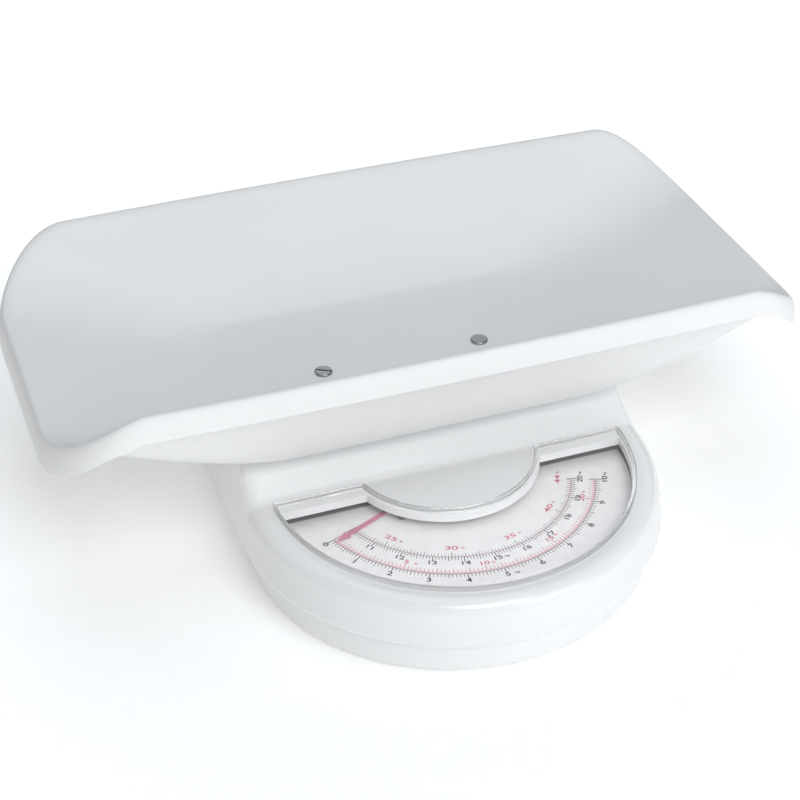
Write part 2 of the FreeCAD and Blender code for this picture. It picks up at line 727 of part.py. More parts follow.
def long_lever():
    """Two arms from the front fulcrums meet in a tongue that runs back to the spring."""
    z0 = LONG_LEVER_Z
    z1 = LONG_LEVER_Z + LEVER_H
    elbow_y = TRAY_Y - POST_DY + 5
    pieces = []
    for side in (-1, 1):
        pieces.append(bar((side * POST_X, FULCRUM_FRONT_Y - 4), (side * POST_X, elbow_y),
                          LEVER_W, z0, z1))
        pieces.append(bar((side * POST_X, elbow_y), (side * 4, JOIN_Y), LEVER_W, z0, z1))
    pieces.append(box(-TONGUE_HALF, TONGUE_HALF, JOIN_Y - 4, 100, z0, z1))
    pieces.append(box(-TONGUE_HALF, TONGUE_HALF, 99, NOSE_Y, z0 + 2, z1))
    return join(pieces)


def meeting_x():
    """Where the long lever's slanting arm passes under the short lever's cross bar."""
    elbow_y = TRAY_Y - POST_DY + 5
    share = (TRAY_Y - elbow_y) / (JOIN_Y - elbow_y)
    return POST_X + (4 - POST_X) * share


def short_lever():
    """Two arms from the back fulcrums, joined by a cross bar over the long lever."""
    z0 = SHORT_LEVER_Z
    z1 = SHORT_LEVER_Z + LEVER_H
    elbow_y = TRAY_Y + POST_DY - 5
    cross_x = meeting_x() + 8
    pieces = [bar((-cross_x, TRAY_Y), (cross_x, TRAY_Y), LEVER_W, z0, z1)]
    for side in (-1, 1):
        pieces.append(bar((side * POST_X, FULCRUM_BACK_Y + 4), (side * POST_X, elbow_y),
                          LEVER_W, z0, z1))
        pieces.append(bar((side * POST_X, elbow_y), (side * cross_x, TRAY_Y), LEVER_W, z0, z1))
    return join(pieces)


def knife_down(x, y, z):
    """Edge pointing down, along X, under a lever whose bottom is at z."""
    corners = [Vector(x - 3, y - KNIFE, z), Vector(x - 3, y + KNIFE, z), Vector(x - 3, y, z - KNIFE)]
    return Part.Face(Part.makePolygon(corners + corners[:1])).extrude(Vector(6, 0, 0))


def knife_up(x, y, z):
    corners = [Vector(x - 3, y - KNIFE, z), Vector(x - 3, y + KNIFE, z), Vector(x - 3, y, z + KNIFE)]
    return Part.Face(Part.makePolygon(corners + corners[:1])).extrude(Vector(6, 0, 0))


def lever_knives(fulcrum_y, load_y, z0):
    knives = []
    for side in (-1, 1):
        knives.append(knife_down(side * POST_X, fulcrum_y, z0))
        knives.append(knife_up(side * POST_X, load_y, z0 + LEVER_H))
    return knives


def long_lever_knives():
    return Part.makeCompound(lever_knives(FULCRUM_FRONT_Y, TRAY_Y - POST_DY, LONG_LEVER_Z))


def short_lever_knives():
    """Also two studs that press on the long lever."""
    studs = [rod(2.0, side * meeting_x(), TRAY_Y, LONG_LEVER_Z + LEVER_H + 2 * GAP, SHORT_LEVER_Z)
             for side in (-1, 1)]
    return Part.makeCompound(
        lever_knives(FULCRUM_BACK_Y, TRAY_Y + POST_DY, SHORT_LEVER_Z) + studs)


def fulcrum_brackets():
    """A pillar under each fulcrum edge, with cheeks that keep the lever in place."""
    brackets = []
    for y, z in ((FULCRUM_FRONT_Y, LONG_LEVER_Z), (FULCRUM_BACK_Y, SHORT_LEVER_Z)):
        for x in (-POST_X, POST_X):
            seat = z - KNIFE - GAP
            pieces = [box(x - 8, x + 8, y - 4.5, y + 4.5, PAN_FLOOR_Z, PAN_FLOOR_Z + 2),
                      box(x - 5, x + 5, y - 4, y + 4, PAN_FLOOR_Z, seat)]
            pieces += [box(x + side * 6 - 1, x + side * 6 + 1, y - 4, y + 4, PAN_FLOOR_Z, z + 3)
                       for side in (-1, 1)]
            brackets.append(join(pieces))
    return Part.makeCompound(brackets)


# ------------------------------------------------------------ bell crank

def bell_crank():
    """Plate with two arms at right angles, on a cross pin."""
    upper = crank_point(CRANK_UP, 90 + CRANK_HALF_DEG)
    back = crank_point(CRANK_BACK, CRANK_HALF_DEG)
    flat = [bar((CRANK_Y, CRANK_Z), end, CRANK_W, 0, CRANK_THICK) for end in (upper, back)]
    plate = join(flat)
    plate = plate.cut(rod(PIN_R + 0.05, CRANK_Y, CRANK_Z, -1, 5))
    for y, z in (upper, back):
        plate = plate.cut(rod(PIN_R, y, z, -1, 5))
    turn = FreeCAD.Rotation(Vector(1, 1, 1), 120)
    plate.Placement = FreeCAD.Placement(Vector(CRANK_X, 0, 0), turn)
    return plate


def crank_pins():
    """The upper pin works in the rack's slot, the back pin lies under the lever's tongue."""
    upper = crank_point(CRANK_UP, 90 + CRANK_HALF_DEG)
    back = crank_point(CRANK_BACK, CRANK_HALF_DEG)
    end = CRANK_X + CRANK_THICK
    return Part.makeCompound([rod_x(PIN_R, 5.0, end, upper[0], upper[1]),
                              rod_x(PIN_R, -5.0, end, back[0], back[1])])


def crank_bracket():
    """Two ears on a small foot, one each side of the crank."""
    x0 = CRANK_X - GAP - EAR_THICK
    x1 = CRANK_X + CRANK_THICK + GAP
    pieces = [box(x, x + EAR_THICK, CRANK_Y - EAR_HALF, CRANK_Y + EAR_HALF,
                  PAN_FLOOR_Z, CRANK_Z + EAR_HALF) for x in (x0, x1)]
    pieces.append(box(x0 - 2, x1 + EAR_THICK + 7, CRANK_Y - EAR_HALF - 1, CRANK_Y + EAR_HALF + 1,
                      PAN_FLOOR_Z, PAN_FLOOR_Z + 1.5))
    return join(pieces).cut(rod_x(PIN_R, x0 - 1, x1 + EAR_THICK + 1, CRANK_Y, CRANK_Z))


def crank_pivot():
    reach = GAP + EAR_THICK + 1
    return rod_x(PIN_R, CRANK_X - reach, CRANK_X + CRANK_THICK + reach, CRANK_Y, CRANK_Z)


# ------------------------------------------------ main spring and adjuster

def main_spring():
    """Extension spring, its last coils round the plugs at each end."""
    height = SPRING_TOP_Z - SPRING_BOTTOM_Z
    path = Part.makeHelix(height / SPRING_TURNS, height, SPRING_R)
    profile = Part.Wire([Part.makeCircle(WIRE_R, Vector(SPRING_R, 0, 0), Vector(0, 1, 0))])
    coil = Part.Wire(path).makePipeShell([profile], True, True)
    coil.translate(Vector(0, SPRING_Y, SPRING_BOTTOM_Z))
    return coil


def spring_shackle():
    """Plug on the lever's tongue."""
    z0 = LONG_LEVER_Z + LEVER_H
    return join([rod(TONGUE_HALF, 0, SPRING_Y, z0, z0 + 2),
                 rod(PLUG_R, 0, SPRING_Y, z0, z0 + 9)])


def spring_bracket():
    """Portal over the tongue: two legs and a bridge that takes the adjuster."""
    y0 = SPRING_Y - BRACKET_HALF_Y
    y1 = SPRING_Y + BRACKET_HALF_Y
    bridge_z = BRACKET_TOP_Z - BRACKET_THICK
    pieces = [box(-BRACKET_X, BRACKET_X, y0, y1, bridge_z, BRACKET_TOP_Z)]
    for side in (-1, 1):
        leg_x = side * (BRACKET_X - BRACKET_THICK / 2)
        foot_x = side * (BRACKET_X + BRACKET_FOOT - 2)
        pieces.append(box(leg_x - BRACKET_THICK / 2, leg_x + BRACKET_THICK / 2, y0, y1,
                          PAN_FLOOR_Z, BRACKET_TOP_Z))
        pieces.append(box(foot_x - BRACKET_FOOT, foot_x + BRACKET_FOOT, y0, y1,
                          PAN_FLOOR_Z, PAN_FLOOR_Z + FOOT_THICK))
    return join(pieces).cut(rod(SCREW_R + 0.5, 0, SPRING_Y, bridge_z - 1, BRACKET_TOP_Z + 1))


def adjuster_screw():
    """Threaded rod: the plug at its foot holds the spring's upper end."""
    plug = rod(PLUG_R, 0, SPRING_Y, SPRING_TOP_Z - 6, SPRING_TOP_Z + 1.5)
    disc = rod(SPRING_R + 1, 0, SPRING_Y, SPRING_TOP_Z + 1.5, SPRING_TOP_Z + 3)
    return join([plug, disc, rod(SCREW_R, 0, SPRING_Y, SPRING_TOP_Z, SCREW_TOP_Z)])


def zero_wheel():
    """Notched thumbwheel that is the adjuster's nut."""
    z0 = BRACKET_TOP_Z + GAP
    wheel = rod(WHEEL_R, 0, SPRING_Y, z0, z0 + WHEEL_H)
    rims = [e for e in wheel.Edges if e.Closed]
    wheel = wheel.makeChamfer(0.8, rims)
    cuts = [rod(1.1, *polar(WHEEL_R + 0.3, 360 * i / WHEEL_NOTCHES, (0, SPRING_Y)),
                z0 - 1, z0 + WHEEL_H + 1) for i in range(WHEEL_NOTCHES)]
    cuts.append(rod(SCREW_R + 0.05, 0, SPRING_Y, z0 - 1, z0 + WHEEL_H + 1))
    return wheel.cut(Part.makeCompound(cuts))


NODES = {
    "tray": tray, "tray_screws": tray_screws, "tray_nuts": tray_nuts,
    "platform_plate": platform_plate, "platform_posts": platform_posts,
    "housing_cover": housing_cover, "window": window, "base_pan": base_pan,
    "rubber_feet": rubber_feet, "cover_screws": cover_screws,
    "dial_plate": dial_plate, "dial_posts": dial_posts, "dial_rivets": dial_rivets,
    "pointer": pointer, "pointer_hub": pointer_hub, "spindle_collar": spindle_collar,
    "spindle": spindle, "pinion": pinion, "rack": rack,
    "movement_bridge": movement_bridge, "spindle_bush": spindle_bush, "rack_guide": rack_guide,
    "long_lever": long_lever, "short_lever": short_lever,
    "long_lever_knives": long_lever_knives, "short_lever_knives": short_lever_knives,
    "fulcrum_brackets": fulcrum_brackets,
    "bell_crank": bell_crank, "crank_pins": crank_pins,
    "crank_bracket": crank_bracket, "crank_pivot": crank_pivot,
    "main_spring": main_spring, "spring_shackle": spring_shackle,
    "spring_bracket": spring_bracket, "adjuster_screw": adjuster_screw, "zero_wheel": zero_wheel,
}

for node, make in NODES.items():
    save(node, make())
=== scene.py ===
"""Dial scale with a tray for small animals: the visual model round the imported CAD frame.

Sizes are in millimetres and turned into metres where a mesh is made; lamps and shader nodes
are in metres. The frame is that of the CAD model: +X along the tray, -Y the dial side, +Z up,
the table at z = 0.
"""
import json
import math

import bmesh
import bpy
from mathutils import Matrix, Vector


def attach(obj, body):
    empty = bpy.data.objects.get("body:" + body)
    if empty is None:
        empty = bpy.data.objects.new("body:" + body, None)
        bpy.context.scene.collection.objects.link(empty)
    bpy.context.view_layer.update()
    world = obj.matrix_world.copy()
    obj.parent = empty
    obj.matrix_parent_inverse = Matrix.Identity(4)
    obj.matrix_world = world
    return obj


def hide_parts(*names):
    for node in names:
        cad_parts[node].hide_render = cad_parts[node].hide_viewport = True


MM = 0.001

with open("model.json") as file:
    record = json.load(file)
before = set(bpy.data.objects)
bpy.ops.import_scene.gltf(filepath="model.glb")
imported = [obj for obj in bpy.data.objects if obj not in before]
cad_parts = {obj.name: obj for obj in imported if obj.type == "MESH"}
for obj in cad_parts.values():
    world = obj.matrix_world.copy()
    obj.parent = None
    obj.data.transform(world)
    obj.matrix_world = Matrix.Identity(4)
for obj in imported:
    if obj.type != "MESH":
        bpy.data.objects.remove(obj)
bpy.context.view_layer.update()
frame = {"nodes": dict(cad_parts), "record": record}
nodes = frame["nodes"]


# --------------------------------------------------------------- camera

CAMERA_AT = (-375.9, -975.65, 830.1)
CAMERA_AZIMUTH = 20.1
CAMERA_ELEVATION = 35.4
SENSOR = 36.0
LENS = 80.9


def make_camera():
    data = bpy.data.cameras.new("camera")
    data.sensor_width = SENSOR
    data.lens = LENS
    data.clip_end = 20
    camera = bpy.data.objects.new("camera", data)
    bpy.context.scene.collection.objects.link(camera)
    azimuth = math.radians(CAMERA_AZIMUTH)
    elevation = math.radians(CAMERA_ELEVATION)
    look = Vector((math.sin(azimuth) * math.cos(elevation),
                   math.cos(azimuth) * math.cos(elevation), -math.sin(elevation)))
    camera.location = Vector(CAMERA_AT) * MM
    camera.rotation_euler = look.to_track_quat("-Z", "Y").to_euler()
    bpy.context.scene.camera = camera


make_camera()

# -------------------------------------------------------------- helpers


def new_object(name, verts, faces, smooth=True):
    mesh = bpy.data.meshes.new(name)
    mesh.from_pydata([Vector(v) * MM for v in verts], [], faces)
    mesh.validate()
    mesh.update()
    if smooth:
        mesh.shade_smooth()
    piece = bpy.data.objects.new(name, mesh)
    bpy.context.scene.collection.objects.link(piece)
    return piece


def fix_normals(piece):
    work = bmesh.new()
    work.from_mesh(piece.data)
    bmesh.ops.recalc_face_normals(work, faces=work.faces)
    work.to_mesh(piece.data)
    work.free()


def apply_modifiers(piece):
    bpy.context.view_layer.update()
    graph = bpy.context.evaluated_depsgraph_get()
    mesh = bpy.data.meshes.new_from_object(piece.evaluated_get(graph))
    old = piece.data
    piece.modifiers.clear()
    piece.data = mesh
    bpy.data.meshes.remove(old)
    mesh.name = piece.name


def boolean(piece, tool, operation):
    modifier = piece.modifiers.new("bool", "BOOLEAN")
    modifier.operation = operation
    modifier.solver = "EXACT"
    modifier.object = tool
    apply_modifiers(piece)
    bpy.data.objects.remove(tool)


def bevel(piece, width, segments=3, angle=35):
    modifier = piece.modifiers.new("bevel", "BEVEL")
    modifier.width = width * MM
    modifier.segments = segments
    modifier.limit_method = "ANGLE"
    modifier.angle_limit = math.radians(angle)
    apply_modifiers(piece)


def shade(piece, angle=30):
    piece.data.shade_smooth()
    piece.data.set_sharp_from_angle(angle=math.radians(angle))


def even_normals(piece):
    modifier = piece.modifiers.new("normals", "WEIGHTED_NORMAL")
    modifier.keep_sharp = True
    modifier.weight = 80


def bridge(rings):
    """Quads between closed rings of equal length, as vertices and faces."""
    count = len(rings[0])
    verts = [p for ring in rings for p in ring]
    faces = []
    for k in range(len(rings) - 1):
        for i in range(count):
            j = (i + 1) % count
            low, high = k * count, (k + 1) * count
            faces.append((low + i, low + j, high + j, high + i))
    return verts, faces


def prism(name, outline, z0, z1):
    count = len(outline)
    verts = [(x, y, z) for z in (z0, z1) for x, y in outline]
    faces = [tuple(range(count)), tuple(range(count, 2 * count))]
    for i in range(count):
        j = (i + 1) % count
        faces.append((i, j, count + j, count + i))
    piece = new_object(name, verts, faces, smooth=False)
    fix_normals(piece)
    return piece


def cylinder_outline(x, y, radius, count=48):
    return [(x + radius * math.cos(2 * math.pi * i / count),
             y + radius * math.sin(2 * math.pi * i / count)) for i in range(count)]


def finish(piece, body, material, slot, *replaced):
    piece.data.materials.clear()
    piece.data.materials.append(material)
    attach(piece, body)
    if replaced:
        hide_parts(*replaced)


# ------------------------------------------------------------ materials


def shader(name):
    material = bpy.data.materials.new(name)
    material.use_nodes = True
    tree = material.node_tree
    return material, tree, tree.nodes["Principled BSDF"]


def noise(tree, scale, detail=3.0, stretch=(1, 1, 1)):
    coords = tree.nodes.new("ShaderNodeTexCoord")
    mapping = tree.nodes.new("ShaderNodeMapping")
    mapping.inputs["Scale"].default_value = stretch
    texture = tree.nodes.new("ShaderNodeTexNoise")
    texture.inputs["Scale"].default_value = scale
    texture.inputs["Detail"].default_value = detail
    tree.links.new(coords.outputs["Object"], mapping.inputs["Vector"])
    tree.links.new(mapping.outputs["Vector"], texture.inputs["Vector"])
    return texture


def ramp(tree, texture, low, high, start=0.3, end=0.7):
    node = tree.nodes.new("ShaderNodeValToRGB")
    node.color_ramp.elements[0].position = start
    node.color_ramp.elements[1].position = end
    node.color_ramp.elements[0].color = (*low, 1)
    node.color_ramp.elements[1].color = (*high, 1)
    tree.links.new(texture.outputs["Fac"], node.inputs["Fac"])
    return node


def vary_colour(tree, bsdf, colour, amount, scale, stretch=(1, 1, 1)):
    low = tuple(max(c * (1 - amount), 0) for c in colour)
    high = tuple(min(c * (1 + amount), 1) for c in colour)
    node = ramp(tree, noise(tree, scale, 3.0, stretch), low, high)
    tree.links.new(node.outputs["Color"], bsdf.inputs["Base Color"])


def vary_roughness(tree, bsdf, low, high, scale, stretch=(1, 1, 1)):
    node = tree.nodes.new("ShaderNodeMapRange")
    node.inputs["To Min"].default_value = low
    node.inputs["To Max"].default_value = high
    tree.links.new(noise(tree, scale, 4.0, stretch).outputs["Fac"], node.inputs["Value"])
    tree.links.new(node.outputs["Result"], bsdf.inputs["Roughness"])


def add_bump(tree, bsdf, scale, strength, distance, stretch=(1, 1, 1)):
    node = tree.nodes.new("ShaderNodeBump")
    node.inputs["Strength"].default_value = strength
    node.inputs["Distance"].default_value = distance
    tree.links.new(noise(tree, scale, 2.0, stretch).outputs["Fac"], node.inputs["Height"])
    tree.links.new(node.outputs["Normal"], bsdf.inputs["Normal"])


def moulded_plastic(name, colour, rough=0.28, coat=0.15):
    """Glossy moulded plastic: slight flow in the gloss, a faint orange peel."""
    material, tree, bsdf = shader(name)
    vary_colour(tree, bsdf, colour, 0.012, 9)
    vary_roughness(tree, bsdf, rough * 0.88, rough * 1.15, 35)
    add_bump(tree, bsdf, 420, 0.05, 0.00012)
    bsdf.inputs["Coat Weight"].default_value = coat
    bsdf.inputs["Coat Roughness"].default_value = 0.08
    bsdf.inputs["IOR"].default_value = 1.5
    return material


def metal(name, colour, rough):
    """Worked metal: fine streaks along one way."""
    stretch = (1, 1, 12)
    material, tree, bsdf = shader(name)
    vary_colour(tree, bsdf, colour, 0.08, 60, stretch)
    vary_roughness(tree, bsdf, rough * 0.75, rough * 1.3, 180, stretch)
    add_bump(tree, bsdf, 300, 0.08, 0.0001, stretch)
    bsdf.inputs["Metallic"].default_value = 1.0
    return material


def paint(name, colour, rough):
    material, tree, bsdf = shader(name)
    vary_colour(tree, bsdf, colour, 0.03, 120)
    vary_roughness(tree, bsdf, rough * 0.9, rough * 1.1, 300)
    add_bump(tree, bsdf, 900, 0.06, 0.00005)
    return material


# painted shade on the dial face: reach in front of and past the cover's edge, in metres, and the
# ramp stops towards the painted dark grey
SHADE_REACH = 0.018
SHADE_PAST = 0.002
SHADE_STOPS = ((0.1, 0.0), (0.86, 0.30), (0.93, 1.0))


def printed_sheet(name, colour, painted_shadow_colour, edge_y):
    """Printed face, painted dark grey past the cover's edge at edge_y, in metres, as a painted
    shadow where the housing's deck covers and shades the sheet.

    The face is also painted greyer towards that edge, as painted shade.
    """
    material = paint(name, colour, 0.45)
    tree = material.node_tree
    bsdf = tree.nodes["Principled BSDF"]
    printed = bsdf.inputs["Base Color"].links[0].from_socket
    coords = tree.nodes.new("ShaderNodeTexCoord")
    split = tree.nodes.new("ShaderNodeSeparateXYZ")
    along = tree.nodes.new("ShaderNodeMapRange")
    along.inputs["From Min"].default_value = edge_y - SHADE_REACH
    along.inputs["From Max"].default_value = edge_y + SHADE_PAST
    mask = tree.nodes.new("ShaderNodeValToRGB")
    (first, dark), (middle, part), (last, full) = SHADE_STOPS
    stops = mask.color_ramp.elements
    stops[0].position, stops[1].position = first, last
    stops[0].color, stops[1].color = (dark, dark, dark, 1), (full, full, full, 1)
    stops.new(middle).color = (part, part, part, 1)
    mix = tree.nodes.new("ShaderNodeMix")
    mix.data_type = "RGBA"
    mix.inputs["B"].default_value = (*painted_shadow_colour, 1)
    tree.links.new(coords.outputs["Object"], split.inputs["Vector"])
    tree.links.new(split.outputs["Y"], along.inputs["Value"])
    tree.links.new(along.outputs["Result"], mask.inputs["Fac"])
    tree.links.new(mask.outputs["Color"], mix.inputs["Factor"])
    tree.links.new(printed, mix.inputs["A"])
    tree.links.new(mix.outputs["Result"], bsdf.inputs["Base Color"])
    return material


def clear_plastic(name, colour, rough):
    """Clear moulded plastic that bends the light, and lets the lamps through."""
    material, tree, bsdf = shader(name)
    vary_colour(tree, bsdf, colour, 0.008, 20)
    vary_roughness(tree, bsdf, rough * 0.7, rough * 1.3, 40)
    bsdf.inputs["IOR"].default_value = 1.49
    bsdf.inputs["Transmission Weight"].default_value = 1.0
    through = tree.nodes.new("ShaderNodeBsdfTransparent")
    through.inputs["Color"].default_value = (0.93, 0.93, 0.93, 1)
    path = tree.nodes.new("ShaderNodeLightPath")
    mix = tree.nodes.new("ShaderNodeMixShader")
    tree.links.new(path.outputs["Is Shadow Ray"], mix.inputs["Fac"])
    tree.links.new(bsdf.outputs["BSDF"], mix.inputs[1])
    tree.links.new(through.outputs["BSDF"], mix.inputs[2])
    tree.links.new(mix.outputs["Shader"], tree.nodes["Material Output"].inputs["Surface"])
    return material


WHITE_TRAY = moulded_plastic("tray_white", (0.84, 0.836, 0.833), 0.46, 0.0)
WHITE_TRAY.node_tree.nodes["Principled BSDF"].inputs["Specular IOR Level"].default_value = 0.25
WHITE_HOUSING = moulded_plastic("housing_white", (0.87, 0.87, 0.87), 0.20, 0.3)
CLEAR_FACE = clear_plastic("clear_face", (0.985, 0.985, 0.985), 0.01)
# walls and bevels of the clear lid: the same clear plastic, rougher, and tinted grey as painted
# shade for the light the edges bend away
CLEAR_EDGE_SHADE_TINT = clear_plastic("clear_edge_shade_tint", (0.74, 0.732, 0.73), 0.40)
# dial face: the print's white, painted dark grey past y = -56.3 mm as the deck's painted shadow,
# and painted greyer in front of it as painted shade
DIAL_FACE_AND_PAINTED_SHADOW = printed_sheet("dial_white", (0.87, 0.84, 0.845), (0.16, 0.16, 0.165), -0.0563)
PRINT_BLACK = paint("print_black", (0.022, 0.022, 0.025), 0.5)
PRINT_RED = paint("print_red", (0.62, 0.13, 0.19), 0.5)
PRINT_PINK = paint("print_pink", (0.78, 0.48, 0.54), 0.5)
PRINT_GREY = paint("print_grey", (0.20, 0.18, 0.19), 0.5)
POINTER_PINK = paint("pointer_pink", (0.58, 0.20, 0.29), 0.35)
STEEL = metal("zinc_steel", (0.60, 0.61, 0.63), 0.32)
DARK_STEEL = metal("spring_steel", (0.30, 0.31, 0.33), 0.38)
SCREW_STEEL = metal("nickel", (0.36, 0.385, 0.40), 0.28)
BRASS = metal("brass", (0.70, 0.52, 0.24), 0.30)
RUBBER = paint("rubber", (0.025, 0.025, 0.027), 0.75)
GREY_PLASTIC = moulded_plastic("grey_plastic", (0.33, 0.35, 0.37), 0.42, 0.0)
PLATFORM_GREY = paint("platform_grey", (0.42, 0.46, 0.48), 0.4)
FLOOR = paint("floor", (0.97, 0.97, 0.97), 0.8)

SLOT_MATERIAL = {
    "white_tray": WHITE_TRAY, "white_housing": WHITE_HOUSING, "clear": CLEAR_FACE,
    "dial_white": DIAL_FACE_AND_PAINTED_SHADOW, "pointer_pink": POINTER_PINK, "steel": STEEL,
    "steel_dark": DARK_STEEL, "screw_steel": SCREW_STEEL, "brass": BRASS, "rubber": RUBBER,
    "grey_plastic": GREY_PLASTIC, "platform_grey": PLATFORM_GREY,
}

# ----------------------------------------------------------------- tray

TRAY_Y = 57.85
CREST_X = 265.5
CREST_Y = 123.0
CREST_BULGE = 4.5
CREST_CORNER = (43.0, 57.0)
CREST_Z = 174.3
END_DROP = 78.0
DROP_FROM = 213.0
DROP_LENGTH = 105.5
FLOOR_X = 134.0
FLOOR_Y = 80.4
FLOOR_SHIFT = -9.2
FLOOR_CORNER = (37.0, 37.0)
FLOOR_Z = 95.3
UNDER_Z = 88.3
TRAY_WALL = 3.0
WALL_POWER = 1.55
UNDER_CREST = (2.2, 2.6)
RIM_START = 0.93
RIM_TOP = 5.0
RIM_OUT = 10.8
RIM_DOWN = 17.7
RIM_END_MORE = 4.8
RIM_END_FROM = 232.0
RIM_ROUND = 2.2
RIM_THICK = 2.8
PLATE_X = 118.0
PLATE_DY = 68.0
PLATE_CORNER = 24.0
PLATE_TOP_Z = 92.3
PLATE_ROOM = 1.0
TRAY_SCREW_X = 60.5
TRAY_SCREW_Y = 46.85
TRAY_SCREW_R = 3.0
SIDE_POINTS = 60
END_POINTS = 26
CORNER_POINTS = 26
CORNER_PASSES = 140
WALL_RINGS = 26
UNDER_RINGS = 24
UNDER_END = 0.96
ROLL_RINGS = 12
RIM_STEP_DEG = 5
LIP_RINGS = 8
LIP_INSIDE_DOWN = 10.0
FLOOR_INNER = -4.0
POCKET_CHAMFER = 0.4
TRAY_SHARP_DEG = 40


def quarter_loop(half_x, half_y, corner):
    """Points of a rounded rectangle's first quarter, from the +X axis to the +Y axis."""
    long, wide = corner
    points = [(half_x, (half_y - wide) * i / END_POINTS) for i in range(END_POINTS)]
    for i in range(CORNER_POINTS + 1):
        angle = math.pi / 2 * i / CORNER_POINTS
        points.append((half_x - long + long * math.cos(angle),
                       half_y - wide + wide * math.sin(angle)))
    for i in range(1, SIDE_POINTS + 1):
        points.append(((half_x - long) * (1 - i / SIDE_POINTS), half_y))
    return points


def whole_loop(half_x, half_y, corner):
    quarter = quarter_loop(half_x, half_y, corner)
    upper = quarter + [(-x, y) for x, y in reversed(quarter[:-1])]
    return upper + [(-x, -y) for x, y in upper[1:-1]]


def smooth_step(value, start, length):
    t = min(max((abs(value) - start) / length, 0.0), 1.0)
    return t * t * (3 - 2 * t)


def crest_points():
    """The rim's crest: long sides bow out, and both ends drop."""
    points = []
    for x, y in whole_loop(CREST_X, CREST_Y, CREST_CORNER):
        bow = CREST_BULGE * (1 - (x / CREST_X) ** 2) if abs(y) > 1e-9 else 0.0
        z = CREST_Z - END_DROP * smooth_step(x, DROP_FROM, DROP_LENGTH)
        points.append(Vector((x, y + math.copysign(bow, y), z)))
    return points


CREST = crest_points()


def outward(ring):
    """Level directions that point out of a ring, one for each point."""
    count = len(ring)
    found = []
    for i in range(count):
        along = ring[(i + 1) % count] - ring[i - 1]
        found.append(Vector((along.y, -along.x, 0)).normalized())
    return found


CREST_OUT = outward(CREST)


def floor_edge(more, z):
    """Edge of the tray's flat floor, moved out by more."""
    corner = tuple(c + more for c in FLOOR_CORNER)
    loop = whole_loop(FLOOR_X + more, FLOOR_Y + more, corner)
    return [Vector((x, y + FLOOR_SHIFT, z)) for x, y in loop]


def rim_ring(out, down, share=0.0):
    """Crest moved outward in plan and down; share of the deeper lip at the ends."""
    ring = []
    for point, normal in zip(CREST, CREST_OUT):
        more = RIM_END_MORE * smooth_step(point.x, RIM_END_FROM, CREST_X - RIM_END_FROM)
        ring.append(point + normal * out - Vector((0, 0, down + more * share)))
    return ring


def between(low_ring, high_ring, share):
    """Ring of a flared wall: share is 0 at the low ring and 1 at the high one."""
    ring = []
    for low, high in zip(low_ring, high_ring):
        point = low.lerp(high, share)
        point.z = low.z + (high.z - low.z) * share ** WALL_POWER
        ring.append(point)
    return ring


FLOOR_EDGE = floor_edge(0, FLOOR_Z)
UNDER_EDGE = floor_edge(TRAY_WALL, UNDER_Z)
UNDER_TOP = rim_ring(*UNDER_CREST)


def wall_ring(share):
    return between(FLOOR_EDGE, CREST, share)


def under_ring(share):
    return between(UNDER_EDGE, UNDER_TOP, share)


def soften(ring, share):
    """Round the wall's corners by averaging along the ring, most at half height."""
    passes = int(CORNER_PASSES * math.sin(math.pi * share) ** 2)
    for _ in range(passes):
        ring = [(ring[i - 1] + ring[i] * 2 + ring[(i + 1) % len(ring)]) / 4
                for i in range(len(ring))]
    return ring


def crest_roll(t):
    """Inner edge of the rim: from the wall at t = 0 over onto the rim's top at t = 1."""
    ring = []
    rows = zip(wall_ring(RIM_START), wall_ring(RIM_START - 0.01), rim_ring(RIM_TOP, 0))
    for start, below, top in rows:
        rise = start - below
        middle = start + rise * ((top.z - start.z) / rise.z)
        ring.append(start * (1 - t) ** 2 + middle * (2 * t * (1 - t)) + top * (t * t))
    return ring


def rim_curve(degrees):
    """Ring on the rim's outside, from its top at 0 to the lip's edge at 90."""
    angle = math.radians(degrees)
    out = RIM_TOP + (RIM_OUT - RIM_TOP) * math.sin(angle) ** (2 / RIM_ROUND)
    fall = 1 - max(math.cos(angle), 0.0) ** (2 / RIM_ROUND)
    return rim_ring(out, (RIM_DOWN - LIP_EDGE) * fall, fall)


LIP_EDGE = 0.9
# (out, down) across the hollow under the rolled rim
CHANNEL = ((2.0, 5.0), (2.5, 4.1), (3.3, 3.45), (4.4, 3.1),
           (5.6, 3.15), (6.6, 3.9), (7.3, 5.3), (7.7, 7.0))


def lip_edge_rings():
    """Rounded lower edge of the lip, from its inside to its outside."""
    middle = RIM_OUT - RIM_THICK / 2
    rings = []
    for i in range(LIP_RINGS + 1):
        angle = math.pi * i / LIP_RINGS
        rings.append(rim_ring(middle - RIM_THICK / 2 * math.cos(angle),
                              RIM_DOWN - LIP_EDGE + LIP_EDGE * math.sin(angle), 1.0))
    return rings


def level_loop(half_x, half_y, corner, z):
    """Flat ring inside the floor's edge."""
    return [Vector((x, y + FLOOR_SHIFT, z)) for x, y in whole_loop(half_x, half_y, corner)]


def pocket_ring(z):
    corner = (PLATE_CORNER + PLATE_ROOM,) * 2
    return level_loop(PLATE_X + PLATE_ROOM, PLATE_DY + PLATE_ROOM, corner, z)


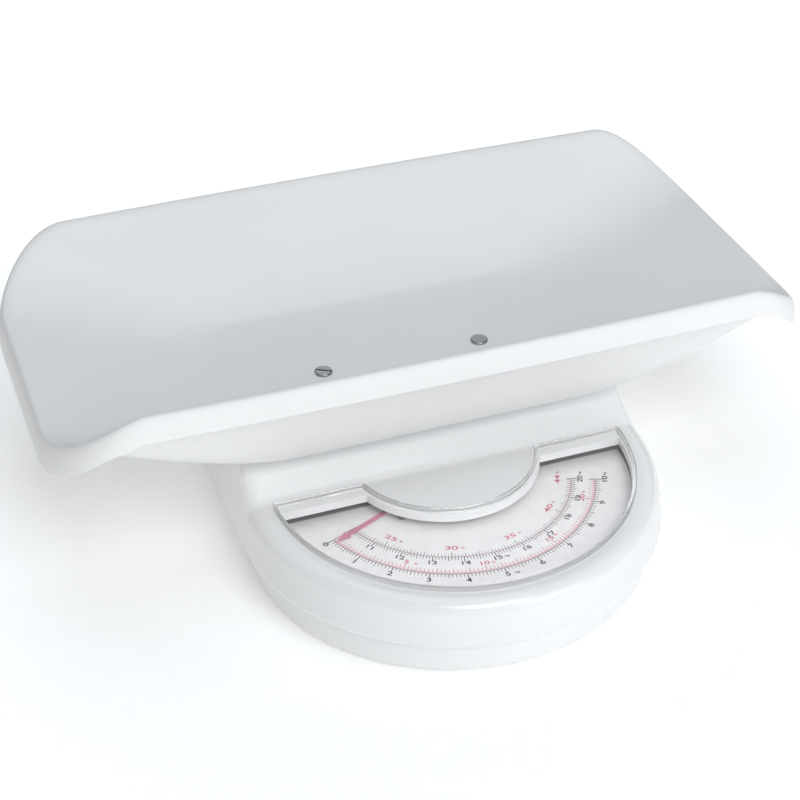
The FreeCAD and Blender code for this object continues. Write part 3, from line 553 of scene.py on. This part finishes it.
def make_tray():
    wall_shares = [i / WALL_RINGS * RIM_START for i in range(WALL_RINGS + 1)]
    under_shares = [i / UNDER_RINGS * UNDER_END for i in range(UNDER_RINGS + 1)]
    rings = [pocket_ring(z) for z in (PLATE_TOP_Z, UNDER_Z + POCKET_CHAMFER, UNDER_Z)]
    rings += [under_ring(s) for s in under_shares]
    rings += [rim_ring(o, d, 0.05 * i) for i, (o, d) in enumerate(CHANNEL)]
    rings += [rim_ring(RIM_OUT - RIM_THICK, LIP_INSIDE_DOWN, 0.5)]
    rings += lip_edge_rings()
    rings += [rim_curve(degrees) for degrees in range(90 - RIM_STEP_DEG, -1, -RIM_STEP_DEG)]
    rings += [crest_roll(1 - i / ROLL_RINGS) for i in range(1, ROLL_RINGS)]
    rings.append(soften(wall_ring(RIM_START), RIM_START))
    rings += [soften(wall_ring(s), s) for s in reversed(wall_shares[:-1])]
    rings.append(floor_edge(FLOOR_INNER, FLOOR_Z))
    verts, faces = bridge(rings)
    count = len(CREST)
    faces.append(tuple(range(count)))
    faces.append(tuple(range(len(verts) - count, len(verts))))
    verts = [v + Vector((0, TRAY_Y, 0)) for v in verts]
    piece = new_object("tray_shell", verts, faces)
    fix_normals(piece)
    for side in (-1, 1):
        hole = cylinder_outline(side * TRAY_SCREW_X, TRAY_SCREW_Y, TRAY_SCREW_R)
        boolean(piece, prism("hole", hole, PLATE_TOP_Z - 2, FLOOR_Z + 2), "DIFFERENCE")
    shade(piece, TRAY_SHARP_DEG)
    even_normals(piece)
    finish(piece, "platform", WHITE_TRAY, "white_tray", "tray")


make_tray()

# -------------------------------------------------------------- housing

HALF_WIDTH = 151.0
ROUND_Y = -47.05
BACK_Y = 152.85
BACK_CORNER = 42.0
SKIRT_BOTTOM_Z = 27.4
SKIRT_BOTTOM_INSET = 3.5
SKIRT_Z = 32.5
WALL_LEAN = 0.17
SHOULDER_R = 12.0
DECK_Z = 62.0
TOP_Z = 83.5
SLOPE_Y = -45.15
SLOPE_DEG = 40.0
SHELL = 2.5
DECK_CREASE = 1.6
TOP_CREASE = 6.0
ARC_STEPS = 90
STRAIGHT_STEPS = 84
CORNER_STEPS = 20
BACK_STEPS = 20
WALL_STEPS = 8
SHOULDER_STEPS = 12
ROOF_INSETS = (2.0, 6.0)
ROOF_READ_INSET = 10
SHELL_SHARP_DEG = 40


def horseshoe(inset):
    """Outline in plan as (x, y): right half from the front to the back, then the left half."""
    half = HALF_WIDTH - inset
    back = BACK_Y - inset
    corner = BACK_CORNER - inset
    right = []
    for i in range(ARC_STEPS):
        angle = math.pi / 2 * i / ARC_STEPS
        right.append((half * math.sin(angle), ROUND_Y - half * math.cos(angle)))
    for i in range(STRAIGHT_STEPS):
        right.append((half, ROUND_Y + (BACK_Y - BACK_CORNER - ROUND_Y) * i / STRAIGHT_STEPS))
    for i in range(CORNER_STEPS):
        angle = math.pi / 2 * i / CORNER_STEPS
        right.append((half - corner + corner * math.cos(angle),
                      back - corner + corner * math.sin(angle)))
    for i in range(BACK_STEPS + 1):
        right.append(((half - corner) * (1 - i / BACK_STEPS), back))
    return right + [(-x, y) for x, y in reversed(right[1:-1])]


def soft_max(a, b, width):
    near = max(width - abs(a - b), 0.0) / width
    return max(a, b) + near * near * width / 4


def roof_height(y, lower=0.0):
    """Deck in front, slope, high top behind, with soft creases."""
    slope = DECK_Z + (y - SLOPE_Y) * math.tan(math.radians(SLOPE_DEG))
    rising = soft_max(DECK_Z, slope, DECK_CREASE)
    return -soft_max(-rising, -TOP_Z, TOP_CREASE) - lower


def housing_rings(inset):
    """Rings from the skirt up over the shoulder onto the roof, moved in by the given wall."""
    lean = math.atan(WALL_LEAN)
    radius = SHOULDER_R - inset
    base = horseshoe(ROOF_READ_INSET + inset)
    tops = [roof_height(y, inset) for x, y in base]
    rings = []

    def ring(place):
        """place(top) gives (inset, z) for a roof height."""
        pairs = [place(top) for top in tops]
        loops = {}
        points = []
        for i, (move, z) in enumerate(pairs):
            key = round(move, 4)
            if key not in loops:
                loops[key] = horseshoe(inset + key)
            x, y = loops[key][i]
            points.append(Vector((x, y, z)))
        return points

    def wall_top(top):
        return top - radius * (1 - math.sin(lean))

    def wall(share):
        def place(top):
            rise = wall_top(top) - SKIRT_Z
            return WALL_LEAN * rise * share, SKIRT_Z + rise * share
        return place

    def centre(top):
        return radius * math.cos(lean) + WALL_LEAN * (wall_top(top) - SKIRT_Z)

    def shoulder(angle):
        def place(top):
            across, up = radius * math.cos(angle), radius * math.sin(angle)
            return centre(top) - across, top - radius + up
        return place

    def roof(extra):
        return lambda top: (centre(top) + extra, top)

    for i in range(WALL_STEPS + 1):
        rings.append(ring(wall(i / WALL_STEPS)))
    for i in range(1, SHOULDER_STEPS + 1):
        angle = lean + (math.pi / 2 - lean) * i / SHOULDER_STEPS
        rings.append(ring(shoulder(angle)))
    for extra in ROOF_INSETS:
        rings.append(ring(roof(extra)))
    return rings


def level_ring(inset, z):
    return [Vector((x, y, z)) for x, y in horseshoe(inset)]


def roof_cap(rings, first):
    """Strips from side to side, as the roof's height depends on y alone; the last is the back."""
    count = len(rings[0])
    half = count // 2
    faces = []
    for i in range(half - BACK_STEPS - 1):
        corners = [first + i, first + i + 1, first + (count - i - 1) % count,
                   first + (count - i) % count]
        faces.append(tuple(v for k, v in enumerate(corners) if v not in corners[:k]))
    back = range(half - BACK_STEPS - 1, half + BACK_STEPS + 2)
    faces.append(tuple(first + i for i in back))
    return faces


def closed_block(name, rings):
    verts, faces = bridge(rings)
    count = len(rings[0])
    faces += [tuple(reversed(f)) for f in roof_cap(rings, 0)]
    faces += roof_cap(rings, len(verts) - count)
    piece = new_object(name, verts, faces)
    fix_normals(piece)
    return piece


OUTER_ARC_Y = -51.75
INNER_ARC_Y = -31.0
PANE_R = 129.5
PANE_BACK_Y = -50.0
PANE_INNER_R = 66.5
PANE_TOP_Z = 66.7
PANE_EDGE = 1.2
LID_TOP = 1.6
LID_WALL = 2.0
OPENING_R = 126.5
OPENING_BACK_Y = -59.5
OPENING_INNER_R = 70.8
WELL_BOTTOM_Z = 56.0
WELL_WALL = 1.6


def arc(centre_y, radius, start, end, count):
    """Points of an arc, angles in degrees from +X."""
    return [(radius * math.cos(math.radians(start + (end - start) * i / count)),
             centre_y + radius * math.sin(math.radians(start + (end - start) * i / count)))
            for i in range(count + 1)]


def half_ring(outer, back_y, inner):
    """Closed outline: outer arc left to right through the front, then the inner arc back."""
    outer_end = math.degrees(math.asin((back_y - OUTER_ARC_Y) / outer))
    inner_end = math.degrees(math.asin((back_y - INNER_ARC_Y) / inner))
    outer_arc = arc(OUTER_ARC_Y, outer, 180 - outer_end, 360 + outer_end, 160)
    inner_arc = arc(INNER_ARC_Y, inner, 360 + inner_end, 180 - inner_end, 90)
    return outer_arc + inner_arc


POST_X = 108.0
POST_DY = 42.0
POST_HOLE_R = 7.0
NUT_HOLE_R = 10.0
WHEEL_SLOT = ((-24.0, 131.5), (24.0, 158.0), (67.8, 75.3))


def make_cover():
    skirt = [level_ring(SKIRT_BOTTOM_INSET + SHELL, SKIRT_BOTTOM_Z),
             level_ring(SKIRT_BOTTOM_INSET + 0.5, SKIRT_BOTTOM_Z),
             level_ring(SKIRT_BOTTOM_INSET, SKIRT_BOTTOM_Z + 0.5)]
    for i in range(1, 6):
        angle = math.pi / 2 * i / 6
        skirt.append(level_ring(SKIRT_BOTTOM_INSET * (1 - math.sin(angle)),
                                SKIRT_Z - (SKIRT_Z - SKIRT_BOTTOM_Z - 0.5) * math.cos(angle)))
    cover = closed_block("housing_shell", skirt + housing_rings(0.0))
    hollow = [level_ring(SKIRT_BOTTOM_INSET + SHELL, SKIRT_BOTTOM_Z - 3),
              level_ring(SKIRT_BOTTOM_INSET + SHELL, SKIRT_BOTTOM_Z + 0.2)]
    boolean(cover, closed_block("hollow", hollow + housing_rings(SHELL)), "DIFFERENCE")
    well = half_ring(OPENING_R + WELL_WALL, OPENING_BACK_Y + WELL_WALL,
                     OPENING_INNER_R - WELL_WALL)
    boolean(cover, prism("well", well, WELL_BOTTOM_Z, DECK_Z - 0.6), "UNION")
    opening = half_ring(OPENING_R, OPENING_BACK_Y, OPENING_INNER_R)
    boolean(cover, prism("opening", opening, WELL_BOTTOM_Z - 2, DECK_Z + 3), "DIFFERENCE")
    places = [(side * POST_X, TRAY_Y + way * POST_DY, POST_HOLE_R)
              for side in (-1, 1) for way in (-1, 1)]
    places += [(side * TRAY_SCREW_X, TRAY_SCREW_Y, NUT_HOLE_R) for side in (-1, 1)]
    for x, y, radius in places:
        hole = prism("hole", cylinder_outline(x, y, radius), TOP_Z - 6, TOP_Z + 2)
        boolean(cover, hole, "DIFFERENCE")
    (x0, y0), (x1, y1), (z0, z1) = WHEEL_SLOT
    slot = prism("slot", [(x0, y0), (x1, y0), (x1, y1), (x0, y1)], z0, z1)
    boolean(cover, slot, "DIFFERENCE")
    shade(cover, SHELL_SHARP_DEG)
    even_normals(cover)
    finish(cover, "base", WHITE_HOUSING, "white_housing", "housing_cover")


make_cover()

FOOT_H = 2.5
PAN_FLOOR_Z = FOOT_H + SHELL
PAN_BOTTOM_INSET = 7.6
PAN_TOP_INSET = 5.1
LIP_INSET = 6.4
LIP_TOP_Z = 33.0
PAN_EDGE_R = 3.0


def make_pan():
    rings = [level_ring(PAN_BOTTOM_INSET + 14, FOOT_H)]
    for i in range(7):
        angle = math.pi / 2 * i / 6
        rings.append(level_ring(PAN_BOTTOM_INSET + PAN_EDGE_R * (1 - math.sin(angle)) - 0.35,
                                FOOT_H + PAN_EDGE_R * (1 - math.cos(angle))))
    low_inset = PAN_BOTTOM_INSET - 0.35
    wall_low_z = FOOT_H + PAN_EDGE_R
    for i in range(1, 8):
        share = i / 7
        inset = low_inset + (PAN_TOP_INSET - PAN_BOTTOM_INSET + 0.35) * share
        z = wall_low_z + (SKIRT_BOTTOM_Z - FOOT_H - PAN_EDGE_R - 0.4) * share
        rings.append(level_ring(inset, z))
    rings += [level_ring(PAN_TOP_INSET + 0.4, SKIRT_BOTTOM_Z),
              level_ring(LIP_INSET, SKIRT_BOTTOM_Z),
              level_ring(LIP_INSET, LIP_TOP_Z), level_ring(LIP_INSET + 2, LIP_TOP_Z),
              level_ring(LIP_INSET + 2, SKIRT_BOTTOM_Z),
              level_ring(PAN_BOTTOM_INSET + SHELL, PAN_FLOOR_Z),
              level_ring(PAN_BOTTOM_INSET + SHELL + 14, PAN_FLOOR_Z)]
    pan = closed_block("base_tub", rings)
    shade(pan, SHELL_SHARP_DEG)
    even_normals(pan)
    finish(pan, "base", WHITE_HOUSING, "white_housing", "base_pan")


make_pan()


def make_window():
    """Clear lid with a low wall all round; the wall and bevels take a rougher copy of the clear
    plastic, tinted grey as painted shade.
    """
    outline = half_ring(PANE_R, PANE_BACK_Y, PANE_INNER_R)
    pane = prism("window_pane", outline, DECK_Z + 0.02, PANE_TOP_Z)
    bevel(pane, PANE_EDGE - 0.1, 3)
    inside = half_ring(PANE_R - LID_WALL, PANE_BACK_Y - LID_WALL, PANE_INNER_R + LID_WALL)
    boolean(pane, prism("inside", inside, DECK_Z - 2, PANE_TOP_Z - LID_TOP), "DIFFERENCE")
    pane.data.materials.clear()
    pane.data.materials.append(CLEAR_FACE)
    pane.data.materials.append(CLEAR_EDGE_SHADE_TINT)
    # level faces take the clear face; walls and bevels take the grey-tinted copy that is painted
    # shade
    for face in pane.data.polygons:
        face.material_index = 0 if abs(face.normal.z) > 0.98 else 1
    shade(pane, 30)
    even_normals(pane)
    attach(pane, "base")
    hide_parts("window")


make_window()

# ----------------------------------------------------------------- dial

DIAL_Y = -44.35
DIAL_TOP_Z = 49.7
START_DEG = 21.8
SCALE_SWEEP_DEG = 136.4
KG_PER_LB = 0.45359
DEG_PER_KG = SCALE_SWEEP_DEG / 10
OUTER_R = 105.0
INNER_R = 87.8
PRINT_LIFT = 0.06
PRINT_THICK = 0.04
FULL_KG = 10.0
FULL_LB = FULL_KG / KG_PER_LB
LINE_STEPS = 120


def dial_point(radius, kilos):
    """Point of the dial for a load on a scale that starts at the left."""
    angle = math.radians(180 + START_DEG + DEG_PER_KG * kilos)
    return radius * math.cos(angle), DIAL_Y + radius * math.sin(angle)


def stroke(points_in, points_out):
    """Closed thin band between two lists of plan points, as vertices and faces."""
    count = len(points_in)
    low = DIAL_TOP_Z + PRINT_LIFT - PRINT_THICK
    high = DIAL_TOP_Z + PRINT_LIFT
    outline = list(points_in) + list(reversed(points_out))
    verts = [(x, y, z) for z in (low, high) for x, y in outline]
    size = len(outline)
    faces = []
    for i in range(count - 1):
        quad = (i, i + 1, size - 2 - i, size - 1 - i)
        faces.append(tuple(reversed(quad)))
        faces.append(tuple(v + size for v in quad))
    for i in range(size):
        j = (i + 1) % size
        faces.append((i, j, size + j, size + i))
    return verts, faces


def tick(kilos, start, end, width):
    (x0, y0), (x1, y1) = dial_point(start, kilos), dial_point(end, kilos)
    angle = math.radians(180 + START_DEG + DEG_PER_KG * kilos)
    nx, ny = -math.sin(angle) * width / 2, math.cos(angle) * width / 2
    return stroke([(x0 - nx, y0 - ny), (x1 - nx, y1 - ny)],
                  [(x0 + nx, y0 + ny), (x1 + nx, y1 + ny)])


def scale_line(radius, width):
    """Thin arc along the whole scale."""
    steps = [FULL_KG * i / LINE_STEPS for i in range(LINE_STEPS + 1)]
    return stroke([dial_point(radius - width / 2, k) for k in steps],
                  [dial_point(radius + width / 2, k) for k in steps])


def joined(name, parts, material):
    verts, faces = [], []
    for part_verts, part_faces in parts:
        start = len(verts)
        verts += part_verts
        faces += [tuple(v + start for v in f) for f in part_faces]
    piece = new_object(name, verts, faces, smooth=False)
    fix_normals(piece)
    finish(piece, "base", material, "dial_white")


# (length, width) of a plain, a longer and the longest stroke
KILO_STROKES = ((2.9, 0.42), (3.8, 0.5), (5.0, 0.65))
POUND_STROKES = ((2.9, 0.38), (3.8, 0.45), (4.8, 0.6))


def stroke_size(i, sizes, longer, longest):
    if i % longest == 0:
        return sizes[2]
    return sizes[1] if i % longer == 0 else sizes[0]


def kilo_ticks(radius):
    """Outward strokes every 100 g, longer each half and whole kilogram."""
    strokes = []
    for i in range(101):
        length, width = stroke_size(i, KILO_STROKES, 5, 10)
        strokes.append(tick(i / 10, radius, radius + length, width))
    return strokes


def pound_ticks(radius, first_lb, last_lb):
    """Inward strokes every quarter pound, longer each whole and fifth pound."""
    strokes = []
    for i in range(int(math.ceil(first_lb * 4)), int(last_lb * 4) + 1):
        length, width = stroke_size(i, POUND_STROKES, 4, 20)
        kilos = (i / 4 - first_lb) * KG_PER_LB
        strokes.append(tick(kilos, radius - length, radius, width))
    return strokes


UNIT_SIZE = 2.4
UNIT_WIDE = 1.5
UNIT_SHIFT = 6.6


def label(text, kilos, radius, size, wide, material, name, shift=0.0):
    """Number whose foot points away from the pivot, drawn wider than it is high."""
    curve = bpy.data.curves.new(name, "FONT")
    curve.body = text
    curve.size = size * MM
    curve.align_x = "CENTER"
    curve.align_y = "CENTER"
    curve.offset = 0.018 * size * MM
    curve.extrude = PRINT_THICK / 2 * MM
    curve.resolution_u = 4
    holder = bpy.data.objects.new(name + "_curve", curve)
    bpy.context.scene.collection.objects.link(holder)
    bpy.context.view_layer.update()
    graph = bpy.context.evaluated_depsgraph_get()
    mesh = bpy.data.meshes.new_from_object(holder.evaluated_get(graph))
    bpy.data.objects.remove(holder)
    x, y = dial_point(radius, kilos)
    turn = math.radians(180 + START_DEG + DEG_PER_KG * kilos + 90)
    place = Matrix.Translation(Vector((x, y, DIAL_TOP_Z + PRINT_LIFT)) * MM)
    place = place @ Matrix.Rotation(turn, 4, "Z") @ Matrix.Translation((shift * MM, 0, 0))
    place = place @ Matrix.Diagonal((wide, 1, 1, 1))
    mesh.transform(place)
    piece = bpy.data.objects.new(name, mesh)
    bpy.context.scene.collection.objects.link(piece)
    finish(piece, "base", material, "dial_white")


def print_dial():
    black = kilo_ticks(OUTER_R) + kilo_ticks(INNER_R)
    black.append(scale_line(OUTER_R, 0.4))
    for kilos in (0.0, FULL_KG):
        black.append(tick(kilos, INNER_R - 3.5, INNER_R + 5.0, 0.4))
        black.append(tick(kilos, OUTER_R - 4.0, OUTER_R + 7.0, 0.4))
    joined("dial_print_black", black, PRINT_BLACK)
    grey = pound_ticks(INNER_R, FULL_LB, 2 * FULL_LB)
    joined("dial_print_grey", grey + [scale_line(INNER_R, 0.25)], PRINT_GREY)
    red = pound_ticks(OUTER_R - 1.6, 0.0, FULL_LB)
    joined("dial_print_red", red, PRINT_RED)
    pink = [scale_line(OUTER_R - 1.1, 1.3), scale_line(INNER_R - 0.5, 0.6)]
    joined("dial_print_pink", pink, PRINT_PINK)
    print_numbers()


def unit(text, kilos, radius, material, name, shift):
    label(text, kilos, radius, UNIT_SIZE, UNIT_WIDE, material, name, shift)


def print_numbers():
    outer_kilos = OUTER_R + 6.6
    inner_kilos = INNER_R + 6.2
    outer_pounds = OUTER_R - 8.4
    inner_pounds = INNER_R - 9.6
    for k in range(0, 11):
        label(str(k), k, outer_kilos, 5.4, 1.5, PRINT_BLACK, "kilo_%d" % k)
    for k in range(11, 21):
        label(str(k), k - 10, inner_kilos, 5.2, 1.45, PRINT_BLACK, "kilo_%d" % k)
    for pounds in (5, 10, 15, 20):
        kilos = pounds * KG_PER_LB
        label(str(pounds), kilos, outer_pounds, 5.2, 1.45, PRINT_RED, "pound_%d" % pounds)
        unit("lb", kilos, outer_pounds, PRINT_RED, "unit_lb_%d" % pounds, UNIT_SHIFT)
    for pounds in (25, 30, 35, 40, 44):
        kilos = (pounds - FULL_LB) * KG_PER_LB
        label(str(pounds), kilos, inner_pounds, 5.4, 1.75, PRINT_RED, "pound_%d" % pounds)
        unit("lb", kilos, inner_pounds, PRINT_RED, "unit_lb_%d" % pounds, UNIT_SHIFT + 1.2)
    for k in (5, 10, 15, 20):
        radius = outer_kilos if k <= FULL_KG else inner_kilos
        unit("kg", (k - 1) % 10 + 1, radius, PRINT_BLACK, "unit_kg_%d" % k, UNIT_SHIFT)


print_dial()

# --------------------------------------------------- carried-over pieces


def dress_cad_nodes():
    """The CAD's own pieces take their record slot's material."""
    slots = {row["node"]: row["material_slot"] for row in frame["record"]["subparts"]}
    for name, piece in nodes.items():
        piece.data.materials.clear()
        piece.data.materials.append(SLOT_MATERIAL[slots[name]])
        shade(piece, 30)


dress_cad_nodes()

# ---------------------------------------------------------------- stage


FLOOR_HALF = 3000
FLOOR_GLOW = (0.20, 0.50)
FLOOR_NEAR = 0.22
FLOOR_FAR = 0.60


def brighten_floor():
    """The paper sweep glows a little, and more so away from the object."""
    tree = FLOOR.node_tree
    bsdf = tree.nodes["Principled BSDF"]
    bsdf.inputs["Emission Color"].default_value = (1, 1, 1, 1)
    coords = tree.nodes.new("ShaderNodeTexCoord")
    length = tree.nodes.new("ShaderNodeVectorMath")
    length.operation = "LENGTH"
    glow = tree.nodes.new("ShaderNodeMapRange")
    glow.interpolation_type = "SMOOTHSTEP"
    glow.inputs["From Min"].default_value = FLOOR_NEAR
    glow.inputs["From Max"].default_value = FLOOR_FAR
    glow.inputs["To Min"].default_value = FLOOR_GLOW[0]
    glow.inputs["To Max"].default_value = FLOOR_GLOW[1]
    tree.links.new(coords.outputs["Object"], length.inputs[0])
    tree.links.new(length.outputs["Value"], glow.inputs["Value"])
    tree.links.new(glow.outputs["Result"], bsdf.inputs["Emission Strength"])


def make_floor():
    corners = [(x * FLOOR_HALF, y * FLOOR_HALF, 0) for x, y in ((-1, -1), (1, -1), (1, 1), (-1, 1))]
    floor = new_object("floor", corners, [(0, 1, 2, 3)], smooth=False)
    floor.data.materials.append(FLOOR)
    brighten_floor()


def area_light(name, place, target, size, power, colour):
    data = bpy.data.lights.new(name, "AREA")
    data.shape = "RECTANGLE"
    data.size = size[0]
    data.size_y = size[1]
    data.energy = power
    data.color = colour
    lamp = bpy.data.objects.new(name, data)
    bpy.context.scene.collection.objects.link(lamp)
    lamp.location = place
    aim = Vector(target) - Vector(place)
    lamp.rotation_euler = aim.to_track_quat("-Z", "Y").to_euler()


WORLD_TINT = (0.97, 1.0, 1.03, 1)
WORLD_STRENGTH = 0.235


def make_world():
    world = bpy.data.worlds.new("studio")
    world.use_nodes = True
    background = world.node_tree.nodes["Background"]
    background.inputs["Color"].default_value = WORLD_TINT
    background.inputs["Strength"].default_value = WORLD_STRENGTH
    bpy.context.scene.world = world


AIM = (0, 0, 0.08)
# name, place and size in metres, power in watts, colour
LIGHTS = (
    ("front_high", (0.1, -1.5, 1.7), (1.2, 0.9), 16.5, (0.98, 1.0, 1.0)),
    ("front_right", (1.1, -1.9, 0.9), (1.3, 1.0), 9.7, (0.95, 0.99, 1.05)),
    ("top", (0.0, 0.1, 2.2), (1.6, 1.6), 9.3, (0.92, 1.0, 1.06)),
    ("front", (0.0, -2.2, 0.7), (1.4, 0.8), 2.8, (0.95, 1.0, 1.0)),
    ("front_left", (-1.4, -1.6, 0.9), (1.3, 1.0), 0.9, (1.05, 0.98, 0.95)),
    ("back", (0.3, 1.9, 1.1), (1.4, 1.0), 3.5, (1.0, 1.0, 1.0)),
)


def light_studio():
    for name, place, size, power, colour in LIGHTS:
        area_light(name, place, AIM, size, power, colour)


make_floor()
make_world()
light_studio()
bpy.context.scene.view_settings.view_transform = "Standard"
